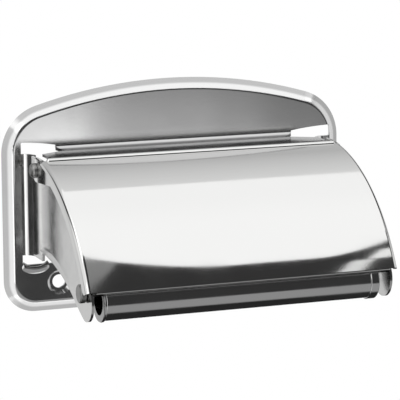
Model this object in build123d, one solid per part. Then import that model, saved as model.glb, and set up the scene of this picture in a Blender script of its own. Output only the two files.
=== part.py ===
from build123d import *
import os
from math import acos, atan2, cos, degrees, hypot, radians, sin, sqrt

# Wall-mounted toilet paper holder: pressed back plate, two arms, hinged hood, pull-out rod and roller.
# Millimetres. The origin is midway between the two screw holes, on the wall. X runs to the right,
# -Y comes out of the wall towards the user and Z is up.

# Sheet metal
SHEET = 1.0                 # plate, arms and shelf
HOOD_SHEET = 0.8

# Back plate, heights measured from the screw holes
PLATE_W = 145.6
PLATE_ABOVE = 80.3          # crown of the arched top edge
PLATE_BELOW = 11.8          # bottom edge
ARCH_R = 204.0
TOP_CORNER_R = 20.0
BOTTOM_CORNER_R = 13.0
BEVEL_W = 4.1               # border that slopes back to the wall, across
BEVEL_R = 2.5               # where the border meets the panel
PANEL_STANDOFF = 1.5        # air behind the panel

# Screw holes, each in a dished seat that reaches back to the wall
SCREW_MARGIN = 22.8         # in from the plate's side edges
SCREW_HOLE_D = 5.5
SEAT_D = 10.4
SEAT_FLOOR_D = 7.8
SEAT_BACK_D = 9.0

# Window that the arms and the shelf are folded out of
WINDOW_BOTTOM = 8.0
WINDOW_CORNER_R = 0.6
RELIEF_RISE = 1.6           # how far the upper reliefs rise above the shelf's fold
RELIEF_BOW = 0.68           # share of that rise reached half way along
RIGHT_RELIEF_MARGIN = 4.5   # the right relief is longer and ends beside the border

# Arms
ARM_MARGIN = 11.4           # plate's side edge to the arm's outer face
ARM_FOLD_R = 4.0
ROOT_BOTTOM = 12.0
ROOT_TOP_DROP = 1.3         # fold's top, below the hood's crown
TIP_INSET = 9.7             # centre of the round tip, in from the hood's surface
TIP_ANGLE = 26.4
HEEL_REACH = 10.0           # straight foot of the arm in front of the fold
LIP_REAR_REACH = 11.0       # rear end of the flared lip's fold, from the arm's fold
LIP_REAR_RISE = 7.2
LIP_FRONT_REACH = 11.5      # front end, from the tip's centre
LIP_FRONT_DROP = 3.6
LIP_BOW = 3.4               # how far the fold arches between them
LIP_EDGE_BOW = 2.7          # and the lip's free edge
LIP_DROP = 2.8              # lip's width at its rear end
LIP_BEND_R = 4.2
LIP_ANGLE = 44.0

# Hood, a curved sheet centred on an axis along X
HOOD_R = 76.7
HOOD_AXIS_Y = -11.5
HOOD_CROWN_Z = 54.3
HOOD_SIDE_GAP = 1.5         # between the arms and the hood's sides
ARM_TO_HOOD_GAP = 1.0       # under the curved sheet
HOOD_FRONT_ANGLE = 26.8     # front edge, up from the horizontal
HOOD_REAR_REACH = 12.5      # rolled rear edge, forward of the axis
HOOD_EDGE_R = 2.0
RETURN_DEPTH = 4.6
RETURN_CORNER_R = 2.6
HEM_R = 0.7
HEM_SIDE_GAP = 0.7          # between the hem's ends and the arms
CURL_R = 1.2                # rolled rear edge
CURL_SINK = 0.2             # its centre, below the hood's surface
CURL_SIDE_GAP = 0.2         # its round ends start this far inside the arms

# Hood pivots, placed from the hood's axis and crown
PIVOT_REACH = 5.5
PIVOT_DROP = 5.7
EAR_R = 4.6
EAR_END_ANGLE = 90.0
EAR_CORNER_R = 1.2
EAR_WEB_ANGLE = 70.0        # where the ear runs out into the side return
RIVET_D = 3.6
RIVET_HEAD_D = 5.8
RIVET_HEAD_H = 2.2
RIVET_CROWN_R = 1.6
RIVET_TAIL_D = 5.2
RIVET_TAIL_H = 1.0
WASHER_D = 5.8
PIVOT_CLEARANCE = 0.05
PIVOT_END_PLAY = 0.12

# Shelf behind the hood
SHELF_DROP = 0.3            # below the hood's crown
SHELF_FOLD_R = 2.0
SHELF_FOLD_MARGIN = 25.8    # plate's side edge to the fold's end
SHELF_ROOT_FLARE = 4.0      # the fold's ends slant out to the panel
SHELF_SIDE_GAP = 1.2        # between the shelf's wide part and the arms
SHELF_SHOULDER_Y = -11.5    # where the slanted sides reach the wide part
SHELF_FRONT_Y = -20.5
SHELF_CORNER_R = 2.0

# Rod that is pushed in from the left through both arms
ROD_INSET = 8.6             # axis, in from the hood's surface
ROD_ANGLE = 28.7
ROD_D = 3.2
ROD_CLEARANCE = 0.08
ROD_PROUD = 1.2             # past the right arm
ROD_TIP_R = 0.8
KNOB_D = 7.2
KNOB_PROUD = 2.6            # past the left arm
KNOB_GAP = 0.2
KNOB_WALL = 0.9             # over the rod's end
KNOB_EDGE_R = 0.6
KNOB_INTERFERENCE = 0.02

# Roller, a loose tube that hangs on the rod by the rings in its ends
ROLLER_END_GAP = 4.2        # to the arms
TUBE_D = 15.0
TUBE_WALL = 0.8
COLLAR_D = 15.9
LEFT_COLLAR_W = 1.2
RIGHT_COLLAR_W = 3.6
COLLAR_EDGE_R = 0.4
RING_BORE_D = 10.4
SPIGOT_LENGTH = 8.0
SPIGOT_CLEARANCE = 0.05
HANG_GAP = 0.05

# Places that follow from the sizes above
PANEL_FRONT = PANEL_STANDOFF + SHEET
BEVEL_RUN = BEVEL_W / PANEL_FRONT
BEVEL_WALL = SHEET * hypot(1, BEVEL_RUN)   # sheet's width where it is cut along the wall
SCREW_X = PLATE_W / 2 - SCREW_MARGIN
ARM_OUT = PLATE_W / 2 - ARM_MARGIN
ARM_IN = ARM_OUT - SHEET
FOLD_X = ARM_OUT + ARM_FOLD_R
FOLD_Y = -(PANEL_FRONT + ARM_FOLD_R)
ROOT_TOP = HOOD_CROWN_Z - ROOT_TOP_DROP
HOOD_AXIS_Z = HOOD_CROWN_Z - HOOD_R
HOOD_IN = ARM_OUT + HOOD_SIDE_GAP
HOOD_OUT = HOOD_IN + HOOD_SHEET
HOOD_FLAT_R = HOOD_R - HOOD_EDGE_R
HOOD_REAR_ANGLE = degrees(acos(HOOD_REAR_REACH / HOOD_R))
ARM_TOP_R = HOOD_R - HOOD_SHEET - ARM_TO_HOOD_GAP
TIP_R = ARM_TOP_R - (HOOD_R - TIP_INSET)
PIVOT_Y = HOOD_AXIS_Y - PIVOT_REACH
PIVOT_Z = HOOD_CROWN_Z - PIVOT_DROP
SHELF_TOP = HOOD_CROWN_Z - SHELF_DROP
SHELF_FOLD_Z = SHELF_TOP + SHELF_FOLD_R
SHELF_FOLD_Y = -(PANEL_FRONT + SHELF_FOLD_R)
SHELF_FOLD_X = PLATE_W / 2 - SHELF_FOLD_MARGIN
SHELF_ROOT_X = SHELF_FOLD_X + SHELF_ROOT_FLARE
SHELF_WIDE_X = ARM_IN - SHELF_SIDE_GAP
ROLLER_END = ARM_IN - ROLLER_END_GAP
TUBE_LEFT = LEFT_COLLAR_W - ROLLER_END
TUBE_RIGHT = ROLLER_END - RIGHT_COLLAR_W
TUBE_BORE_R = TUBE_D / 2 - TUBE_WALL
KNOB_END = ARM_OUT + KNOB_PROUD


def hood_point(radius, angle):
    """A (y, z) point on a circle round the hood's axis, the angle measured up from the front."""
    turn = radians(angle)
    return (HOOD_AXIS_Y - radius * cos(turn), HOOD_AXIS_Z + radius * sin(turn))


TIP_Y, TIP_Z = hood_point(HOOD_R - TIP_INSET, TIP_ANGLE)
ROD_Y, ROD_Z = hood_point(HOOD_R - ROD_INSET, ROD_ANGLE)
ROLLER_Y = ROD_Y
ROLLER_Z = ROD_Z - (RING_BORE_D - ROD_D) / 2 + HANG_GAP
HOOD_PLANE = Plane(origin=(0, HOOD_AXIS_Y, HOOD_AXIS_Z), x_dir=(0, 1, 0), z_dir=(1, 0, 0))


def along_x(radius, start, end, y=ROLLER_Y, z=ROLLER_Z):
    """A round bar along X."""
    bar = extrude(Plane.YZ * Circle(radius), end - start)
    return Pos(start, y, z) * bar


def turned(profile, y=ROLLER_Y, z=ROLLER_Z):
    """A solid of revolution about an X axis, from (x, radius) points."""
    face = make_face(Polyline(*profile, close=True))
    return Pos(0, y, z) * revolve(face, Axis.X)


def across(face_yz, start, end):
    """A YZ outline made solid between two X positions."""
    return Pos(start, 0, 0) * extrude(Plane.YZ * face_yz, end - start)


def plate_face(inset):
    """The plate's outline in (x, z), drawn in by an even inset."""
    arch_z = PLATE_ABOVE - ARCH_R
    corner_x = PLATE_W / 2 - TOP_CORNER_R
    corner_z = arch_z + sqrt((ARCH_R - TOP_CORNER_R) ** 2 - corner_x ** 2)
    blend = atan2(corner_z - arch_z, corner_x)
    half = PLATE_W / 2 - inset
    arch_r = ARCH_R - inset
    top_r = TOP_CORNER_R - inset
    foot_r = BOTTOM_CORNER_R - inset
    foot_x = PLATE_W / 2 - BOTTOM_CORNER_R
    foot_z = BOTTOM_CORNER_R - PLATE_BELOW
    shoulder = (arch_r * cos(blend), arch_z + arch_r * sin(blend))
    top_mid = (corner_x + top_r * cos(blend / 2), corner_z + top_r * sin(blend / 2))
    foot_mid = (foot_x + foot_r * sqrt(0.5), foot_z - foot_r * sqrt(0.5))
    right = [
        ThreePointArc((foot_x, foot_z - foot_r), foot_mid, (half, foot_z)),
        Line((half, foot_z), (half, corner_z)),
        ThreePointArc((half, corner_z), top_mid, shoulder),
    ]
    crown = ThreePointArc(shoulder, (0, arch_z + arch_r), (-shoulder[0], shoulder[1]))
    left = [mirror(edge, about=Plane.YZ) for edge in right]
    base = Line((-foot_x, foot_z - foot_r), (foot_x, foot_z - foot_r))
    return make_face(right + [crown, base] + left)


def plate_frustum(inset, depth):
    """Solid that narrows along the border's slope, from the wall out to a given depth."""
    rear = Plane.XZ * plate_face(inset)
    front = Plane.XZ.offset(depth) * plate_face(inset + BEVEL_RUN * depth)
    return loft([rear, front], ruled=True)


def window_face():
    """The window, with reliefs that rise above the ends of the shelf's fold."""
    top = SHELF_FOLD_Z + RELIEF_RISE
    shoulder = SHELF_FOLD_Z + RELIEF_RISE * RELIEF_BOW
    right = PLATE_W / 2 - RIGHT_RELIEF_MARGIN
    face = make_face([
        Polyline((-FOLD_X, top), (-FOLD_X, WINDOW_BOTTOM), (FOLD_X, WINDOW_BOTTOM), (FOLD_X, ROOT_TOP),
                 (right, ROOT_TOP), (right, top)),
        ThreePointArc((right, top), ((right + SHELF_ROOT_X) / 2, shoulder), (SHELF_ROOT_X, SHELF_FOLD_Z)),
        Line((SHELF_ROOT_X, SHELF_FOLD_Z), (-SHELF_ROOT_X, SHELF_FOLD_Z)),
        ThreePointArc((-SHELF_ROOT_X, SHELF_FOLD_Z), (-(FOLD_X + SHELF_ROOT_X) / 2, shoulder), (-FOLD_X, top)),
    ])
    corners = [v for v in face.vertices() if abs(v.X) > FOLD_X - SHEET]
    return fillet(corners, WINDOW_CORNER_R)


def screw_seat(x):
    """A dished seat round a screw hole, its floor back against the wall."""
    hole = SCREW_HOLE_D / 2
    back = SEAT_BACK_D / 2
    brim = SEAT_D / 2
    profile = Polyline((hole, 0), (back, 0), (brim + SHEET, -PANEL_STANDOFF), (brim + SHEET, -PANEL_FRONT),
                       (brim, -PANEL_FRONT), (SEAT_FLOOR_D / 2, -SHEET), (hole, -SHEET), close=True)
    dish = revolve(make_face(profile), Axis.Y)
    well = extrude(Plane.XZ * Circle(brim + SHEET), PANEL_FRONT)
    return Pos(x, 0, 0) * well, Pos(x, 0, 0) * dish


def back_plate():
    """Pressed plate: border that slopes back to the wall, panel, window and dished screw seats."""
    plate = plate_frustum(0, PANEL_FRONT)
    plate = fillet(plate.faces().sort_by(Axis.Y)[0].edges(), BEVEL_R)
    plate -= plate_frustum(BEVEL_WALL, PANEL_STANDOFF)
    plate -= extrude(Plane.XZ * window_face(), 2 * PANEL_FRONT)
    for sign in (-1, 1):
        well, dish = screw_seat(sign * SCREW_X)
        plate = plate - well + dish
    return plate


def bowed(start, end, bow):
    """An arc in (y, z) that stands a given height above its chord, drawn from front to rear."""
    run = (end[0] - start[0], end[1] - start[1])
    length = hypot(*run)
    half_way = ((start[0] + end[0]) / 2, (start[1] + end[1]) / 2)
    middle = (half_way[0] - bow * run[1] / length, half_way[1] + bow * run[0] / length)
    return ThreePointArc(start, middle, end)


def lip_fold():
    """The fold of the flared lower lip on the arm's blade."""
    front = (TIP_Y + LIP_FRONT_REACH, TIP_Z - LIP_FRONT_DROP)
    rear = (FOLD_Y - LIP_REAR_REACH, ROOT_BOTTOM + LIP_REAR_RISE)
    return bowed(front, rear, LIP_BOW)


def tip_tangent(front):
    """Where the straight edge from the lip's front end runs into the round tip, as (y, z)."""
    reach = hypot(front[0] - TIP_Y, front[1] - TIP_Z)
    heading = atan2(front[1] - TIP_Z, front[0] - TIP_Y)
    swing = atan2(sqrt(reach ** 2 - TIP_R ** 2), TIP_R)
    return (TIP_Y + TIP_R * cos(heading - swing), TIP_Z + TIP_R * sin(heading - swing))


def arm_outline():
    """The arm's flat blade in (y, z): top edge parallel to the hood, round tip, arched underside."""
    rear_z = HOOD_AXIS_Z + sqrt(ARM_TOP_R ** 2 - (FOLD_Y - HOOD_AXIS_Y) ** 2)
    rear_angle = degrees(atan2(rear_z - HOOD_AXIS_Z, HOOD_AXIS_Y - FOLD_Y))
    crown = ThreePointArc((FOLD_Y, rear_z), hood_point(ARM_TOP_R, (rear_angle + TIP_ANGLE) / 2),
                          hood_point(ARM_TOP_R, TIP_ANGLE))
    fold = lip_fold()
    front = tuple(fold @ 0)[:2]
    rear = tuple(fold @ 1)[:2]
    low = tip_tangent(front)
    heel = (FOLD_Y - HEEL_REACH, ROOT_BOTTOM)
    root = (FOLD_Y, ROOT_BOTTOM)
    blade = make_face([
        crown,
        ThreePointArc(hood_point(ARM_TOP_R, TIP_ANGLE), (TIP_Y - TIP_R, TIP_Z), low),
        Line(low, front),
        fold,
        Line(rear, heel),
        Line(heel, root),
        Line(root, (FOLD_Y, rear_z)),
    ])
    return blade - Pos(FOLD_Y, ROOT_TOP) * Rectangle(2 * ARM_FOLD_R, SHEET, align=(Align.CENTER, Align.MIN))


def lip_section(radius):
    """The lip's curl in (x, distance from the axis that it is turned about)."""
    turn = radians(LIP_ANGLE)

    def ring(r, part):
        return (ARM_OUT + LIP_BEND_R - r * cos(turn * part), radius - r * sin(turn * part))

    outer = LIP_BEND_R + SHEET
    return make_face([
        ThreePointArc(ring(LIP_BEND_R, 0), ring(LIP_BEND_R, 0.5), ring(LIP_BEND_R, 1)),
        Line(ring(LIP_BEND_R, 1), ring(outer, 1)),
        ThreePointArc(ring(outer, 1), ring(outer, 0.5), ring(outer, 0)),
        Line(ring(outer, 0), ring(LIP_BEND_R, 0)),
    ])


def arm_lip():
    """Flared lip along the arched fold, trimmed so that it dies out towards the tip."""
    fold = lip_fold()
    front, rear, axis = (Vector(*tuple(point)[:2]) for point in (fold @ 0, fold @ 1, fold.arc_center))
    out = (rear - axis).normalized()
    ahead = (front - axis).normalized()
    section = Plane(origin=(0, axis.X, axis.Y), x_dir=(1, 0, 0), z_dir=(0, -out.Y, out.X))
    sweep_angle = degrees(atan2(out.X * ahead.Y - out.Y * ahead.X, out.X * ahead.X + out.Y * ahead.Y))
    curl = revolve(section * lip_section(fold.radius), Axis((0, axis.X, axis.Y), (1, 0, 0)), sweep_angle)
    low = rear - out * LIP_DROP
    above = Vector(0, 2 * LIP_BOW)
    trim = make_face([
        bowed((front.X, front.Y), (low.X, low.Y), LIP_EDGE_BOW),
        Polyline((low.X, low.Y), tuple(rear + above)[:2], tuple(front + above)[:2],
                 (front.X, front.Y)),
    ])
    return curl & across(trim, ARM_IN - LIP_DROP, ARM_OUT + LIP_DROP)


def right_arm():
    """Right-hand arm: fold at the plate, flat blade with a flared lower lip, pivot and rod holes."""
    blade = across(arm_outline(), ARM_IN, ARM_OUT)
    quarter = Circle(ARM_FOLD_R + SHEET) - Circle(ARM_FOLD_R)
    keep = Pos(-ARM_FOLD_R, ARM_FOLD_R) * Rectangle(2 * ARM_FOLD_R, 2 * ARM_FOLD_R)
    fold = Pos(FOLD_X, FOLD_Y, ROOT_BOTTOM) * extrude(quarter & keep, ROOT_TOP - ROOT_BOTTOM)
    arm = blade + arm_lip() + fold
    arm -= along_x(RIVET_D / 2, ARM_IN - SHEET, ARM_OUT + SHEET, PIVOT_Y, PIVOT_Z)
    return arm - along_x(ROD_D / 2 + ROD_CLEARANCE, ARM_IN - SHEET, ARM_OUT + SHEET, ROD_Y, ROD_Z)


def hinge_shelf():
    """Tongue folded forward out of the plate, behind the hood's rear edge."""
    bend = Circle(SHELF_FOLD_R + SHEET) - Circle(SHELF_FOLD_R)
    keep = Pos(SHELF_FOLD_R, -SHELF_FOLD_R) * Rectangle(2 * SHELF_FOLD_R, 2 * SHELF_FOLD_R)
    section = Pos(SHELF_FOLD_Y, SHELF_FOLD_Z) * (bend & keep)
    corner = (SHELF_FOLD_Y, SHELF_TOP - SHEET)
    flat = Pos(*corner) * Rectangle(SHELF_FOLD_Y - SHELF_FRONT_Y, SHEET, align=(Align.MAX, Align.MIN))
    tongue = across(section + flat, -SHELF_WIDE_X, SHELF_WIDE_X)
    half = [(SHELF_ROOT_X, 0), (SHELF_ROOT_X, -PANEL_FRONT), (SHELF_FOLD_X, SHELF_FOLD_Y),
            (SHELF_WIDE_X, SHELF_SHOULDER_Y), (SHELF_WIDE_X, SHELF_FRONT_Y)]
    plan = make_face(Polyline(*half, *[(-x, y) for x, y in reversed(half)], close=True))
    noses = [v for v in plan.vertices() if abs(v.Y - SHELF_FRONT_Y) < 1e-6]
    plan = fillet(noses, SHELF_CORNER_R)
    return tongue & extrude(plan, 2 * SHELF_FOLD_Z)


def ring_sector(inner, outer, start, end):
    """Part of a ring round the hood's axis, in (y, z)."""
    middle = (start + end) / 2
    return make_face([
        ThreePointArc(hood_point(outer, start), hood_point(outer, middle), hood_point(outer, end)),
        Line(hood_point(outer, end), hood_point(inner, end)),
        ThreePointArc(hood_point(inner, end), hood_point(inner, middle), hood_point(inner, start)),
        Line(hood_point(inner, start), hood_point(outer, start)),
    ])


def rounded_inside(sector, radius, angle):
    """A ring sector with the inner corner at one end rounded off."""
    y, z = hood_point(HOOD_R - RETURN_DEPTH, angle)
    corner = [v for v in sector.vertices() if hypot(v.X - y, v.Y - z) < 1e-4]
    return fillet(corner, radius)


def ear_face():
    """Flat ear behind the side return, in (y, z): round the pivot and webbed into the return."""
    inner = HOOD_R - RETURN_DEPTH
    tail = ring_sector(inner, HOOD_FLAT_R, HOOD_REAR_ANGLE, EAR_END_ANGLE)
    tail = rounded_inside(tail, EAR_CORNER_R, EAR_END_ANGLE)
    heel = hood_point(inner, EAR_WEB_ANGLE)
    reach = hypot(heel[0] - PIVOT_Y, heel[1] - PIVOT_Z)
    heading = atan2(heel[1] - PIVOT_Z, heel[0] - PIVOT_Y)
    swing = atan2(sqrt(reach ** 2 - EAR_R ** 2), EAR_R)
    chin = (PIVOT_Y + EAR_R * cos(heading + swing), PIVOT_Z + EAR_R * sin(heading + swing))
    shoulder = hood_point(HOOD_R, EAR_WEB_ANGLE)
    web = make_face(Polyline((PIVOT_Y, PIVOT_Z), (PIVOT_Y, PIVOT_Z + EAR_R), shoulder, heel, chin, close=True))
    boss = Pos(PIVOT_Y, PIVOT_Z) * Circle(EAR_R) + web
    return tail + (boss & Pos(HOOD_AXIS_Y, HOOD_AXIS_Z) * Circle(HOOD_FLAT_R))


def hood():
    """Curved lid with rounded side edges, side returns, pivot ears, rolled rear edge and front hem."""
    outside = extrude(HOOD_PLANE * Circle(HOOD_R), HOOD_OUT, both=True)
    outside = fillet(outside.edges().filter_by(GeomType.CIRCLE), HOOD_EDGE_R)
    inside = extrude(HOOD_PLANE * Circle(HOOD_R - HOOD_SHEET), HOOD_IN, both=True)
    inside = fillet(inside.edges().filter_by(GeomType.CIRCLE), HOOD_EDGE_R - HOOD_SHEET)
    band = ring_sector(HOOD_R - RETURN_DEPTH, HOOD_R + HOOD_SHEET, HOOD_FRONT_ANGLE, HOOD_REAR_ANGLE)
    band = rounded_inside(band, RETURN_CORNER_R, HOOD_FRONT_ANGLE)
    lid = (outside - inside) & across(band, -HOOD_OUT, HOOD_OUT)
    crest = ring_sector(HOOD_FLAT_R, HOOD_R - HOOD_SHEET, HOOD_REAR_ANGLE, EAR_END_ANGLE)
    ear = across(ear_face() + crest, HOOD_IN, HOOD_OUT)
    lid = lid + ear + mirror(ear, about=Plane.YZ)
    hem_half = ARM_IN - HEM_SIDE_GAP
    lid += along_x(HEM_R, -hem_half, hem_half, *hood_point(HOOD_R - HEM_R, HOOD_FRONT_ANGLE))
    roll_y, roll_z = hood_point(HOOD_R - CURL_SINK, HOOD_REAR_ANGLE)
    roll_half = ARM_IN - CURL_SIDE_GAP
    lid += along_x(CURL_R, -roll_half, roll_half, roll_y, roll_z)
    for end in (-roll_half, roll_half):
        lid += Pos(end, roll_y, roll_z) * Sphere(CURL_R)
    pivot_r = RIVET_D / 2 + PIVOT_CLEARANCE
    return lid - along_x(pivot_r, -HOOD_OUT - SHEET, HOOD_OUT + SHEET, PIVOT_Y, PIVOT_Z)


def right_hinge_rivet():
    """Pivot rivet: domed head outside the hood's ear, shank through the arm, closed over inside."""
    seat = HOOD_OUT + PIVOT_END_PLAY
    head = along_x(RIVET_HEAD_D / 2, seat, seat + RIVET_HEAD_H, PIVOT_Y, PIVOT_Z)
    crown = [e for e in head.edges().filter_by(GeomType.CIRCLE) if e.center().X > seat + RIVET_HEAD_H / 2]
    head = fillet(crown, RIVET_CROWN_R)
    shank = along_x(RIVET_D / 2, ARM_IN, seat, PIVOT_Y, PIVOT_Z)
    return head + shank + along_x(RIVET_TAIL_D / 2, ARM_IN - RIVET_TAIL_H, ARM_IN, PIVOT_Y, PIVOT_Z)


def right_hinge_washer():
    """Spacer between the arm and the hood's ear."""
    inner = RIVET_D / 2 + PIVOT_CLEARANCE
    outer = WASHER_D / 2
    end = HOOD_IN - PIVOT_END_PLAY
    return turned([(ARM_OUT, inner), (end, inner), (end, outer), (ARM_OUT, outer)], PIVOT_Y, PIVOT_Z)


def roller_tube():
    """Plain polished tube."""
    return along_x(TUBE_D / 2, TUBE_LEFT, TUBE_RIGHT) - along_x(TUBE_BORE_R, TUBE_LEFT, TUBE_RIGHT)


def right_end_ring(collar_w):
    """Ring in the roller's end: a collar outside the tube and a spigot inside it, bored for the rod."""
    inside = ROLLER_END - collar_w
    collar = along_x(COLLAR_D / 2, inside, ROLLER_END)
    collar = fillet(collar.edges().filter_by(GeomType.CIRCLE), COLLAR_EDGE_R)
    ring = collar + along_x(TUBE_BORE_R - SPIGOT_CLEARANCE, inside - SPIGOT_LENGTH, inside)
    return ring - along_x(RING_BORE_D / 2, inside - SPIGOT_LENGTH, ROLLER_END)


def roller_rod():
    """Straight rod with a rounded right end, its left end inside the knob."""
    rod = along_x(ROD_D / 2, KNOB_WALL - KNOB_END, ARM_OUT + ROD_PROUD, ROD_Y, ROD_Z)
    tip = [e for e in rod.edges().filter_by(GeomType.CIRCLE) if e.center().X > ARM_OUT]
    return fillet(tip, ROD_TIP_R)


def rod_knob():
    """Turned knob pressed on the rod's left end."""
    knob = along_x(KNOB_D / 2, -KNOB_END, -ARM_OUT - KNOB_GAP, ROD_Y, ROD_Z)
    knob = fillet(knob.edges().filter_by(GeomType.CIRCLE), KNOB_EDGE_R)
    bore = along_x(ROD_D / 2 - KNOB_INTERFERENCE, KNOB_WALL - KNOB_END, -ARM_OUT, ROD_Y, ROD_Z)
    return knob - bore


def left(part):
    """The left-hand twin of a right-hand part."""
    return mirror(part, about=Plane.YZ)


arm = right_arm()
rivet = right_hinge_rivet()
washer = right_hinge_washer()

parts = {
    "back_plate": back_plate(),
    "hinge_shelf": hinge_shelf(),
    "left_arm": left(arm),
    "right_arm": arm,
    "hood": hood(),
    "left_hinge_rivet": left(rivet),
    "right_hinge_rivet": rivet,
    "left_hinge_washer": left(washer),
    "right_hinge_washer": washer,
    "roller_tube": roller_tube(),
    "left_end_ring": left(right_end_ring(LEFT_COLLAR_W)),
    "right_end_ring": right_end_ring(RIGHT_COLLAR_W),
    "roller_rod": roller_rod(),
    "rod_knob": rod_knob(),
}

os.makedirs("parts", exist_ok=True)
for name, part in parts.items():
    export_step(part, f"parts/{name}.step")
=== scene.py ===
import math

import bmesh
import bpy
from mathutils import Matrix, Vector


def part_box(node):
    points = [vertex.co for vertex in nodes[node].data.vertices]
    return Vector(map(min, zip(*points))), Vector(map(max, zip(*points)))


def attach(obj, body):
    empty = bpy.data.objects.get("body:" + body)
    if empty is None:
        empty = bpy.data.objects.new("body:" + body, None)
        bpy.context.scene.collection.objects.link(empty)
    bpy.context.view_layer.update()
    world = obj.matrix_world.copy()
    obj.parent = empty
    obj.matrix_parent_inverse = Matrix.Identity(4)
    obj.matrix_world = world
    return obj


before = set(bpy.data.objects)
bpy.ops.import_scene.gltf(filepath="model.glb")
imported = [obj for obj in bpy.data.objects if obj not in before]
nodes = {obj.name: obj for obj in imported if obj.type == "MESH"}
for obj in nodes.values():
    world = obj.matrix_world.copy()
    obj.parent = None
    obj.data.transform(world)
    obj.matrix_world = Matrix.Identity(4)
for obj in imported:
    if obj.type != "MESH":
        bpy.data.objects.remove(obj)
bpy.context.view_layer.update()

# Camera: the photograph's viewing angle
CAM_AZIMUTH = 20.66         # degrees to the left of the holder's middle
CAM_ELEVATION = 10.20
CAM_ROLL = -0.25
CAM_TARGET = Vector((0.00017, -0.030, 0.0347))
CAM_DISTANCE = 0.8951
CAM_LENS = 202.7            # mm
CAM_SENSOR = 36.0           # mm
CAM_CLIP_START = 0.01

# Beads pressed into the plate under the window's lower corners, in metres
BEAD_X = 0.0601
BEAD_CENTRE_Z = 0.0150
BEAD_R = 0.0095
BEAD_HALF_W = 0.0019
BEAD_SPAN = 40.0            # degrees to either side of its lowest point
BEAD_PROUD = 0.0006
BEAD_SINK = 0.0003          # its rim lies inside the sheet
BEAD_CROWN = 2.6            # brings the top of its section to about 1
BEAD_END_POWER = 4          # the higher, the blunter its ends
BEAD_STEPS = 40
BEAD_ROWS = 12

# Surroundings: the radiance of each zone, and the stretch of a unit direction over which it begins
FRONT_DARK = 0.05
GROUND_Z = (-0.26, -0.34)
GROUND_GREY = 0.42
NADIR_Z = (-0.84, -0.90)
NADIR_DARK = 0.03
WINDOW_X = (-0.38, -0.48)
WINDOW_WHITE = 1.4
RIGHT_WALL_X = (0.60, 0.85)
RIGHT_WALL_WHITE = 1.1
REAR_Y = (-0.20, 0.20)
REAR_LIGHT = 0.85
REAR_GROUND_Z = (-0.30, -0.42)
REAR_GROUND_DARK = 0.03
REAR_TOP_Z = (0.25, 0.40)
REAR_TOP_BLACK = 0.0
LEFT_WALL_X = (-0.74, -0.84)
LEFT_WALL_Z = (-0.05, 0.10)
LEFT_WALL_DARK = 0.05       # below the horizon
LEFT_WALL_WHITE = 1.2       # above it
BACKDROP_WHITE = (1.0, 1.0, 1.0, 1.0)

# Floor
FLOOR_Z = -0.65             # the holder hangs on a wall, well above the floor
FLOOR_Y = -0.03
FLOOR_RADIUS = 0.55
FLOOR_SIDES = 96
FLOOR_TONE = (0.82, 0.82, 0.81, 1.0)
FLOOR_ROUGHNESS = 0.8

# Softbox: a white part and, behind it, a dimmer scrim
SOFTBOX_Z = 0.135           # close above the plate
SOFTBOX_LEFT = -0.16
SOFTBOX_RIGHT = 0.15
SOFTBOX_REAR = -0.010       # rear edge of the white part
SOFTBOX_FRONT = -0.174      # its front edge is straight between the two bends
LEFT_BEND = 0.050
LEFT_END = -0.025
LEFT_SETBACK = 0.046
LEFT_POWER = 1.5            # how the edge curves from the bend to the end
RIGHT_BEND = 0.095
RIGHT_END = 0.135
RIGHT_SETBACK = 0.057
RIGHT_POWER = 2
BEND_STRIPS = 24
SOFTBOX_RADIANCE = 1.45
SCRIM_REAR = 0.26
SCRIM_RADIANCES = (1.02, 0.68)  # it fades from the white part to SCRIM_FADE_Y
SCRIM_FADE_Y = 0.060
SCRIM_STRIPS = 8

# Reflectors in front of the softbox, in its plane: ends in x and in y
LEFT_REFLECTOR = ((-0.035, -0.006), (-0.215, -0.128))
LEFT_REFLECTOR_RADIANCE = 0.30
RIGHT_REFLECTOR = ((0.118, 0.130), (-0.228, -0.189))
RIGHT_REFLECTOR_RADIANCE = 1.1
RIGHT_LAMP = ((0.125, 0.137), (-0.187, -0.163))
RIGHT_LAMP_RADIANCE = 1.4

# Cards in front that the upper panel mirrors
CARD_Y = -0.30
CARD_LOW_Z = -0.01
CARD_HIGH_Z = 0.06
CARD_EDGES = (-0.10, 0.06, 0.13, 0.16, 0.22)
CARD_RADIANCES = (1.75, 0.80, 0.65, 0.38)
CARD_ROWS = 7               # each row upwards is dimmer
CARD_FADE = 0.20            # share that the top row keeps

# Card that the left arm mirrors by way of the plate
ARM_CARD_X = (-0.125, -0.0930)
ARM_CARD_Y = -0.10
ARM_CARD_Z = (-0.03, 0.045)
ARM_CARD_RADIANCE = 1.7

# Strip close below the plate's bottom edge
GLOW_Z = -0.032
GLOW_X = (-0.09, 0.09)
GLOW_Y = (-0.022, 0.012)
GLOW_RADIANCE = 1.2

# Metal surfaces
STEEL_TONE = (0.60, 0.60, 0.595)
SMEAR_DETAIL = 4.0
SMEAR_NOISE = (0.35, 0.70)  # share of the noise that roughens the metal
GRAIN_SCALE = 900.0
GRAIN_DETAIL = 2.0
GRAIN_DEPTH = 0.0001
# Masks for painted light: shade on the border's outer half, a highlight along the shelf's fold with shade
# behind it, shade on the roller's end faces
BORDER_EDGE_Y = (-0.0016, -0.0010)  # where the border's outer half begins
BORDER_TOP_Z = (0.055, 0.060)
BORDER_BOTTOM_Z = (-0.0066, -0.0074)
BORDER_SIDE_X = (0.060, 0.062)
SHELF_FOLD_Y = (-0.0027, -0.0036)
RING_FACE_START = 0.0004    # depth behind the roller's end where its cut face begins
RING_FACE_FULL = 0.0002
NYLON_ROUGHNESS = 0.55


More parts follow.
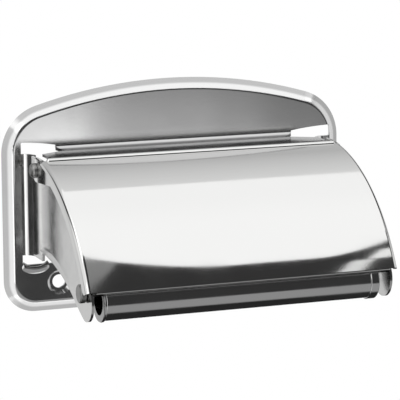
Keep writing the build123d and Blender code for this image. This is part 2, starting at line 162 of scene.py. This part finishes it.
def make_camera():
    """A camera that looks at the holder as the photograph does."""
    azimuth, elevation, roll = (math.radians(a) for a in (CAM_AZIMUTH, CAM_ELEVATION, CAM_ROLL))
    back = Vector((-math.sin(azimuth) * math.cos(elevation), -math.cos(azimuth) * math.cos(elevation),
                   math.sin(elevation)))
    level = Vector((math.cos(azimuth), -math.sin(azimuth), 0.0))
    upright = back.cross(level)
    right = math.cos(roll) * level + math.sin(roll) * upright
    up = math.cos(roll) * upright - math.sin(roll) * level
    data = bpy.data.cameras.new("camera")
    data.lens = CAM_LENS
    data.sensor_width = CAM_SENSOR
    data.clip_start = CAM_CLIP_START
    camera = bpy.data.objects.new("camera", data)
    bpy.context.scene.collection.objects.link(camera)
    turn = Matrix((right, up, back)).transposed().to_4x4()
    camera.matrix_world = Matrix.Translation(CAM_TARGET + back * CAM_DISTANCE) @ turn
    bpy.context.scene.camera = camera


class Tree:
    """Small helper that adds and links shader nodes."""

    def __init__(self, tree):
        self.tree = tree

    def add(self, kind, **settings):
        node = self.tree.nodes.new(kind)
        for key, value in settings.items():
            setattr(node, key, value)
        return node

    def link(self, source, target):
        self.tree.links.new(source, target)

    def axes(self, space):
        """The x, y and z of a texture coordinate."""
        where = self.add("ShaderNodeTexCoord")
        split = self.add("ShaderNodeSeparateXYZ")
        self.link(where.outputs[space], split.inputs["Vector"])
        return [split.outputs[axis] for axis in "XYZ"]

    def absolute(self, value):
        node = self.add("ShaderNodeMath", operation="ABSOLUTE")
        self.link(value, node.inputs[0])
        return node.outputs["Value"]

    def noise(self, vector, scale, detail):
        node = self.add("ShaderNodeTexNoise")
        node.inputs["Scale"].default_value = scale
        node.inputs["Detail"].default_value = detail
        self.link(vector, node.inputs["Vector"])
        return node.outputs["Fac"]

    def map_range(self, value, start, end, low, high):
        """value from start..end to low..high, eased; low and high may be sockets."""
        node = self.add("ShaderNodeMapRange", interpolation_type="SMOOTHSTEP")
        self.link(value, node.inputs["Value"])
        node.inputs["From Min"].default_value = start
        node.inputs["From Max"].default_value = end
        for name, part in (("To Min", low), ("To Max", high)):
            if isinstance(part, (int, float)):
                node.inputs[name].default_value = part
            else:
                self.link(part, node.inputs[name])
        return node.outputs["Result"]


def make_world():
    """Surroundings: dark in front, between a window and a light wall, and light behind and at the left."""
    world = bpy.data.worlds.new("studio")
    bpy.context.scene.world = world
    world.use_nodes = True
    t = Tree(world.node_tree)
    world.node_tree.nodes.clear()
    x, y, z = t.axes("Generated")
    ground = t.map_range(z, *NADIR_Z, GROUND_GREY, NADIR_DARK)
    front = t.map_range(z, *GROUND_Z, FRONT_DARK, ground)
    front = t.map_range(x, *WINDOW_X, front, WINDOW_WHITE)
    front = t.map_range(x, *RIGHT_WALL_X, front, RIGHT_WALL_WHITE)
    rear = t.map_range(z, *REAR_GROUND_Z, REAR_LIGHT, REAR_GROUND_DARK)
    rear = t.map_range(z, *REAR_TOP_Z, rear, REAR_TOP_BLACK)
    studio = t.map_range(y, *REAR_Y, front, rear)
    left_wall = t.map_range(z, *LEFT_WALL_Z, LEFT_WALL_DARK, LEFT_WALL_WHITE)
    studio = t.map_range(x, *LEFT_WALL_X, studio, left_wall)
    surround = t.add("ShaderNodeBackground")
    t.link(studio, surround.inputs["Color"])
    plain = t.add("ShaderNodeBackground")
    plain.inputs["Color"].default_value = BACKDROP_WHITE
    path = t.add("ShaderNodeLightPath")
    mix = t.add("ShaderNodeMixShader")
    t.link(path.outputs["Is Camera Ray"], mix.inputs["Fac"])
    t.link(surround.outputs["Background"], mix.inputs[1])
    t.link(plain.outputs["Background"], mix.inputs[2])
    out = t.add("ShaderNodeOutputWorld")
    t.link(mix.outputs["Shader"], out.inputs["Surface"])


def make_panel_light(name, x_ends, y_ends, z, radiance):
    """A level rectangular light that shines down and that the camera can't see."""
    width = x_ends[1] - x_ends[0]
    depth = y_ends[1] - y_ends[0]
    data = bpy.data.lights.new(name, "AREA")
    data.shape = "RECTANGLE"
    data.size = width
    data.size_y = depth
    data.energy = radiance * math.pi * width * depth
    light = bpy.data.objects.new(name, data)
    light.location = (sum(x_ends) / 2, sum(y_ends) / 2, z)
    light.visible_camera = False
    bpy.context.scene.collection.objects.link(light)
    return light


def make_upright_light(name, x_ends, y, z_ends, radiance):
    """A rectangular light that stands upright and shines towards the wall."""
    light = make_panel_light(name, x_ends, z_ends, 0.0, radiance)
    light.location = (sum(x_ends) / 2, y, sum(z_ends) / 2)
    light.rotation_euler.x = math.radians(90.0)
    return light


def softbox_front(x):
    """Where the white part of the softbox ends in front."""
    left = max((LEFT_BEND - x) / (LEFT_BEND - LEFT_END), 0.0)
    right = max((x - RIGHT_BEND) / (RIGHT_END - RIGHT_BEND), 0.0)
    setback = LEFT_SETBACK * min(left, 1.0) ** LEFT_POWER + RIGHT_SETBACK * min(right, 1.0) ** RIGHT_POWER
    return SOFTBOX_FRONT + setback


def even_steps(start, end, count):
    """Evenly spaced values from start to end."""
    return [start + (end - start) * i / count for i in range(count + 1)]


def make_softbox():
    """A large soft light overhead in strips, with a curved front edge and a fading scrim behind."""
    edges = [SOFTBOX_LEFT, *even_steps(LEFT_END, LEFT_BEND, BEND_STRIPS),
             *even_steps(RIGHT_BEND, RIGHT_END, BEND_STRIPS), SOFTBOX_RIGHT]
    for left, right in zip(edges, edges[1:]):
        depth = (softbox_front((left + right) / 2), SOFTBOX_REAR)
        make_panel_light("softbox", (left, right), depth, SOFTBOX_Z, SOFTBOX_RADIANCE)
    seams = [*even_steps(SOFTBOX_REAR, SCRIM_FADE_Y, SCRIM_STRIPS), SCRIM_REAR]
    tones = even_steps(*SCRIM_RADIANCES, SCRIM_STRIPS)
    for front, rear, radiance in zip(seams, seams[1:], tones):
        make_panel_light("scrim", (SOFTBOX_LEFT, SOFTBOX_RIGHT), (front, rear), SOFTBOX_Z, radiance)


def make_cards():
    """Cards in front, in rows, that light the back plate alone."""
    plate_only = bpy.data.collections.new("plate_only")
    plate_only.objects.link(nodes["back_plate"])
    levels = even_steps(CARD_LOW_Z, CARD_HIGH_Z, CARD_ROWS)
    fades = even_steps(1.0, CARD_FADE, CARD_ROWS - 1)
    for left, right, radiance in zip(CARD_EDGES, CARD_EDGES[1:], CARD_RADIANCES):
        for bottom, top, fade in zip(levels, levels[1:], fades):
            card = make_upright_light("card", (left, right), CARD_Y, (bottom, top), radiance * fade)
            card.light_linking.receiver_collection = plate_only


def make_lights():
    """The softbox, cards in front, small reflectors and a glow under the plate."""
    make_softbox()
    make_cards()
    make_panel_light("left_reflector", *LEFT_REFLECTOR, SOFTBOX_Z, LEFT_REFLECTOR_RADIANCE)
    make_panel_light("right_reflector", *RIGHT_REFLECTOR, SOFTBOX_Z, RIGHT_REFLECTOR_RADIANCE)
    make_panel_light("right_lamp", *RIGHT_LAMP, SOFTBOX_Z, RIGHT_LAMP_RADIANCE)
    make_upright_light("arm_card", ARM_CARD_X, ARM_CARD_Y, ARM_CARD_Z, ARM_CARD_RADIANCE)
    glow = make_panel_light("glow", GLOW_X, GLOW_Y, GLOW_Z, GLOW_RADIANCE)
    glow.rotation_euler.x = math.radians(180.0)


def new_material(name):
    """A material with its shader, both new."""
    material = bpy.data.materials.new(name)
    material.use_nodes = True
    return material, shader_of(material)


def shader_of(material):
    return material.node_tree.nodes["Principled BSDF"]


def make_floor():
    """Plain pale floor below the holder."""
    bpy.ops.mesh.primitive_circle_add(vertices=FLOOR_SIDES, radius=FLOOR_RADIUS, fill_type="NGON",
                                      location=(0.0, FLOOR_Y, FLOOR_Z))
    floor = bpy.context.object
    floor.name = "floor"
    material, shader = new_material("floor_pale")
    shader.inputs["Base Color"].default_value = FLOOR_TONE
    shader.inputs["Roughness"].default_value = FLOOR_ROUGHNESS
    floor.data.materials.append(material)
    floor.visible_glossy = False


def steel(name, tone, rough, smear_scale, grain):
    """Bare metal: rough is (least, most), smudged by soft noise, with a very fine grain."""
    material, shader = new_material(name)
    t = Tree(material.node_tree)
    shader.inputs["Metallic"].default_value = 1.0
    shader.inputs["Base Color"].default_value = (*tone, 1.0)
    where = t.add("ShaderNodeTexCoord").outputs["Object"]
    smear = t.noise(where, smear_scale, SMEAR_DETAIL)
    t.link(t.map_range(smear, *SMEAR_NOISE, *rough), shader.inputs["Roughness"])
    bump = t.add("ShaderNodeBump")
    bump.inputs["Strength"].default_value = grain
    bump.inputs["Distance"].default_value = GRAIN_DEPTH
    t.link(t.noise(where, GRAIN_SCALE, GRAIN_DETAIL), bump.inputs["Height"])
    t.link(bump.outputs["Normal"], shader.inputs["Normal"])
    return material


def paint_border_shade(material, shade_tone, bright):
    """Plate metal with painted shade: a darker tone along the outer half of the border."""
    t = Tree(material.node_tree)
    x, y, z = t.axes("Object")
    edge = t.map_range(y, *BORDER_EDGE_Y, bright, shade_tone)
    tone = t.map_range(z, *BORDER_TOP_Z, bright, edge)
    tone = t.map_range(z, *BORDER_BOTTOM_Z, tone, edge)
    tone = t.map_range(t.absolute(x), *BORDER_SIDE_X, tone, edge)
    t.link(tone, shader_of(material).inputs["Base Color"])


def paint_shelf_light_and_shade(material, shade_tone, bright):
    """Shelf metal with a painted highlight along its fold and painted shade over the rest of the shelf."""
    t = Tree(material.node_tree)
    y = t.axes("Object")[1]
    t.link(t.map_range(y, *SHELF_FOLD_Y, bright, shade_tone), shader_of(material).inputs["Base Color"])


def paint_roller_end_shade(material, shade_tone, bright):
    """Roller metal with painted shade: a darker tone on the cut faces at its ends."""
    t = Tree(material.node_tree)
    x = t.axes("Object")[0]
    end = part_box("right_end_ring")[1].x
    tone = t.map_range(t.absolute(x), end - RING_FACE_START, end - RING_FACE_FULL, bright, shade_tone)
    t.link(tone, shader_of(material).inputs["Base Color"])


def plastic(name, tone):
    """Matt moulded plastic."""
    material, shader = new_material(name)
    shader.inputs["Base Color"].default_value = (*tone, 1.0)
    shader.inputs["Roughness"].default_value = NYLON_ROUGHNESS
    return material


def bead_point(side, panel_y, along, across):
    """A point of a bead's skin: along runs from -1 to 1 between its ends, across from 0 to 1."""
    angle = math.radians(along * BEAD_SPAN)
    reach = BEAD_R + (2 * across - 1) * BEAD_HALF_W
    swell = BEAD_CROWN * math.sqrt(across) * (1 - across) * (1 - along ** BEAD_END_POWER)
    rise = (BEAD_PROUD + BEAD_SINK) * swell - BEAD_SINK
    x = side * BEAD_X + reach * math.sin(angle)
    z = BEAD_CENTRE_Z - reach * math.cos(angle)
    return (x, panel_y - rise, z)


def make_bead(name, side, material):
    """A smile-shaped bead on the panel, side being -1 for left and 1 for right."""
    panel_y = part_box("back_plate")[0].y
    shape = bmesh.new()
    grid = [[shape.verts.new(bead_point(side, panel_y, 2 * i / BEAD_STEPS - 1, j / BEAD_ROWS))
             for j in range(BEAD_ROWS + 1)] for i in range(BEAD_STEPS + 1)]
    for near, far in zip(grid, grid[1:]):
        for j in range(BEAD_ROWS):
            shape.faces.new((near[j], near[j + 1], far[j + 1], far[j])).smooth = True
    rim = [row[0] for row in grid] + grid[-1][1:] + [row[-1] for row in grid[-2::-1]] + grid[0][-2:0:-1]
    shape.faces.new(rim)
    bmesh.ops.recalc_face_normals(shape, faces=shape.faces)
    mesh = bpy.data.meshes.new(name)
    shape.to_mesh(mesh)
    shape.free()
    mesh.materials.append(material)
    bead = bpy.data.objects.new(name, mesh)
    bpy.context.scene.collection.objects.link(bead)
    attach(bead, "wall_frame")


def dress(material, *names):
    """Gives CAD nodes a material."""
    for name in names:
        node = nodes[name]
        if not node.data.materials:
            node.data.materials.append(material)
        for i in range(len(node.data.materials)):
            node.data.materials[i] = material


bpy.context.scene.view_settings.view_transform = "Standard"
make_camera()
make_world()
make_lights()
make_floor()

plate_steel = steel("plate_steel", STEEL_TONE, rough=(0.13, 0.17), smear_scale=55.0, grain=0.05)
# painted shade: darker tone along the border's outer half
paint_border_shade(plate_steel, shade_tone=0.36, bright=0.60)
make_bead("left_bead", -1, plate_steel)
make_bead("right_bead", 1, plate_steel)
shelf_steel = steel("shelf_steel", STEEL_TONE, rough=(0.12, 0.18), smear_scale=55.0, grain=0.05)
# painted highlight along the shelf's fold, painted shade on its top
paint_shelf_light_and_shade(shelf_steel, shade_tone=0.24, bright=0.46)
polished = steel("polished_steel", STEEL_TONE, rough=(0.07, 0.11), smear_scale=55.0, grain=0.03)
satin = steel("satin_steel", tone=(0.57, 0.57, 0.565), rough=(0.14, 0.20), smear_scale=160.0, grain=0.08)
chrome = steel("roller_steel", tone=(0.58, 0.58, 0.575), rough=(0.10, 0.16), smear_scale=80.0, grain=0.04)
# painted shade: darker tone on the roller's end faces
paint_roller_end_shade(chrome, shade_tone=0.28, bright=0.58)
rivet = steel("rivet_steel", tone=(0.24, 0.24, 0.236), rough=(0.34, 0.46), smear_scale=300.0, grain=0.40)
nylon = plastic("washer_nylon", tone=(0.72, 0.71, 0.67))

dress(plate_steel, "back_plate")
dress(shelf_steel, "hinge_shelf")
dress(polished, "hood")
dress(satin, "left_arm", "right_arm")
dress(chrome, "roller_tube", "left_end_ring", "right_end_ring")
dress(rivet, "left_hinge_rivet", "right_hinge_rivet", "rod_knob", "roller_rod")
dress(nylon, "left_hinge_washer", "right_hinge_washer")
